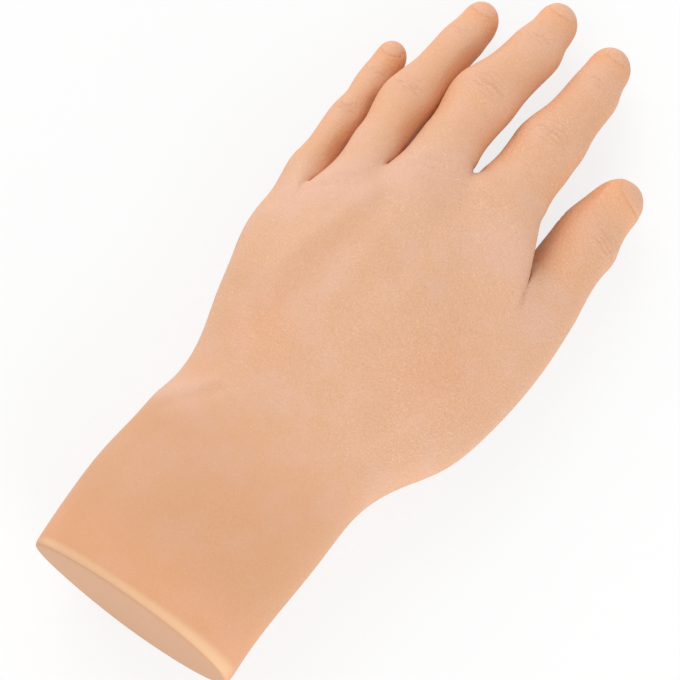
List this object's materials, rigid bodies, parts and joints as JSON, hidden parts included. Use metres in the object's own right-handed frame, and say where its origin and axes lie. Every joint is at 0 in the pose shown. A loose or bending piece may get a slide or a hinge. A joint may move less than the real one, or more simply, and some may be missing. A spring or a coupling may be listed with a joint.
{
  "type": "hand mannequin",
  "caption": "Life-size posable left hand of flesh-coloured silicone, cut flat at the wrist, lying palm down, with a hinged steel armature inside that holds a pose.",
  "frame": {"origin": "under the middle of the hand's box, on the surface that it lies on", "axes": "+Y from the wrist cut to the fingertips, +Z out of the back of the hand, +X to the thumb side"},
  "size_m": [0.0992, 0.2348, 0.0433],
  "materials": {
    "skin": "matte",
    "steel": "satin",
    "pin_steel": "satin"
  },
  "bodies": {
    "palm": {"index_base_pin": "pin_steel", "index_bracket": "steel", "index_bracket_rivet": "pin_steel", "little_base_pin": "pin_steel", "little_bracket": "steel", "little_bracket_rivet": "pin_steel", "middle_base_pin": "pin_steel", "middle_bracket": "steel", "middle_bracket_rivet": "pin_steel", "palm_plate": "steel", "palm_skin": "skin", "ring_base_pin": "pin_steel", "ring_bracket": "steel", "ring_bracket_rivet": "pin_steel", "stem_rivet": "pin_steel", "thumb_base_pin": "pin_steel", "thumb_bracket": "steel", "thumb_bracket_rivet": "pin_steel", "wrist_stem": "steel"},
    "index_base": {"index_base_link": "steel", "index_base_skin": "skin", "index_mid_pin": "pin_steel"},
    "index_mid": {"index_mid_link": "steel", "index_mid_skin": "skin", "index_tip_pin": "pin_steel"},
    "index_tip": {"index_tip_link": "steel", "index_tip_skin": "skin"},
    "middle_base": {"middle_base_link": "steel", "middle_base_skin": "skin", "middle_mid_pin": "pin_steel"},
    "middle_mid": {"middle_mid_link": "steel", "middle_mid_skin": "skin", "middle_tip_pin": "pin_steel"},
    "middle_tip": {"middle_tip_link": "steel", "middle_tip_skin": "skin"},
    "ring_base": {"ring_base_link": "steel", "ring_base_skin": "skin", "ring_mid_pin": "pin_steel"},
    "ring_mid": {"ring_mid_link": "steel", "ring_mid_skin": "skin", "ring_tip_pin": "pin_steel"},
    "ring_tip": {"ring_tip_link": "steel", "ring_tip_skin": "skin"},
    "little_base": {"little_base_link": "steel", "little_base_skin": "skin", "little_mid_pin": "pin_steel"},
    "little_mid": {"little_mid_link": "steel", "little_mid_skin": "skin", "little_tip_pin": "pin_steel"},
    "little_tip": {"little_tip_link": "steel", "little_tip_skin": "skin"},
    "thumb_base": {"thumb_base_link": "steel", "thumb_base_skin": "skin", "thumb_tip_pin": "pin_steel"},
    "thumb_tip": {"thumb_tip_link": "steel", "thumb_tip_skin": "skin"}
  },
  "joints": [
    {"name": "index_base_hinge", "type": "hinge", "parent": "palm", "child": "index_base", "pos_m": [0.00856, 0.04537, 0.02646], "axis": [-0.9976, -0.0052, -0.0698], "range_deg": [-10, 45]},
    {"name": "index_mid_hinge", "type": "hinge", "parent": "index_base", "child": "index_mid", "pos_m": [0.00877, 0.07041, 0.0216], "axis": [-0.9976, -0.0052, -0.0698], "range_deg": [-5, 75]},
    {"name": "index_tip_hinge", "type": "hinge", "parent": "index_mid", "child": "index_tip", "pos_m": [0.00912, 0.09639, 0.01466], "axis": [-0.9976, -0.0052, -0.0698], "range_deg": [-5, 45]},
    {"name": "middle_base_hinge", "type": "hinge", "parent": "palm", "child": "middle_base", "pos_m": [-0.01534, 0.04437, 0.02746], "axis": [-0.9877, 0.0086, -0.1564], "range_deg": [-10, 45]},
    {"name": "middle_mid_hinge", "type": "hinge", "parent": "middle_base", "child": "middle_mid", "pos_m": [-0.01436, 0.0694, 0.02265], "axis": [-0.9877, 0.0086, -0.1564], "range_deg": [-5, 75]},
    {"name": "middle_tip_hinge", "type": "hinge", "parent": "middle_mid", "child": "middle_tip", "pos_m": [-0.01288, 0.09559, 0.01474], "axis": [-0.9877, 0.0086, -0.1564], "range_deg": [-5, 45]},
    {"name": "ring_base_hinge", "type": "hinge", "parent": "palm", "child": "ring_base", "pos_m": [-0.03294, 0.03037, 0.02496], "axis": [-0.9654, -0.0303, -0.2588], "range_deg": [-10, 45]},
    {"name": "ring_mid_hinge", "type": "hinge", "parent": "ring_base", "child": "ring_mid", "pos_m": [-0.03198, 0.05563, 0.01843], "axis": [-0.9654, -0.0303, -0.2588], "range_deg": [-5, 75]},
    {"name": "ring_tip_hinge", "type": "hinge", "parent": "ring_mid", "child": "ring_tip", "pos_m": [-0.03119, 0.08353, 0.01222], "axis": [-0.9654, -0.0303, -0.2588], "range_deg": [-5, 45]},
    {"name": "little_base_hinge", "type": "hinge", "parent": "palm", "child": "little_base", "pos_m": [-0.04334, 0.01537, 0.01796], "axis": [-0.9527, -0.0833, -0.2924], "range_deg": [0, 45]},
    {"name": "little_mid_hinge", "type": "hinge", "parent": "little_base", "child": "little_mid", "pos_m": [-0.04385, 0.04125, 0.01226], "axis": [-0.9527, -0.0833, -0.2924], "range_deg": [-5, 70]},
    {"name": "little_tip_hinge", "type": "hinge", "parent": "little_mid", "child": "little_tip", "pos_m": [-0.04419, 0.05834, 0.00849], "axis": [-0.9527, -0.0833, -0.2924], "range_deg": [-5, 45]},
    {"name": "thumb_base_hinge", "type": "hinge", "parent": "palm", "child": "thumb_base", "pos_m": [0.03416, 0.03037, 0.01746], "axis": [-0.785, 0.0687, 0.6157], "range_deg": [-20, 8]},
    {"name": "thumb_tip_hinge", "type": "hinge", "parent": "thumb_base", "child": "thumb_tip", "pos_m": [0.03478, 0.05777, 0.01519], "axis": [-0.785, 0.0687, 0.6157], "range_deg": [-10, 40]}
  ]
}
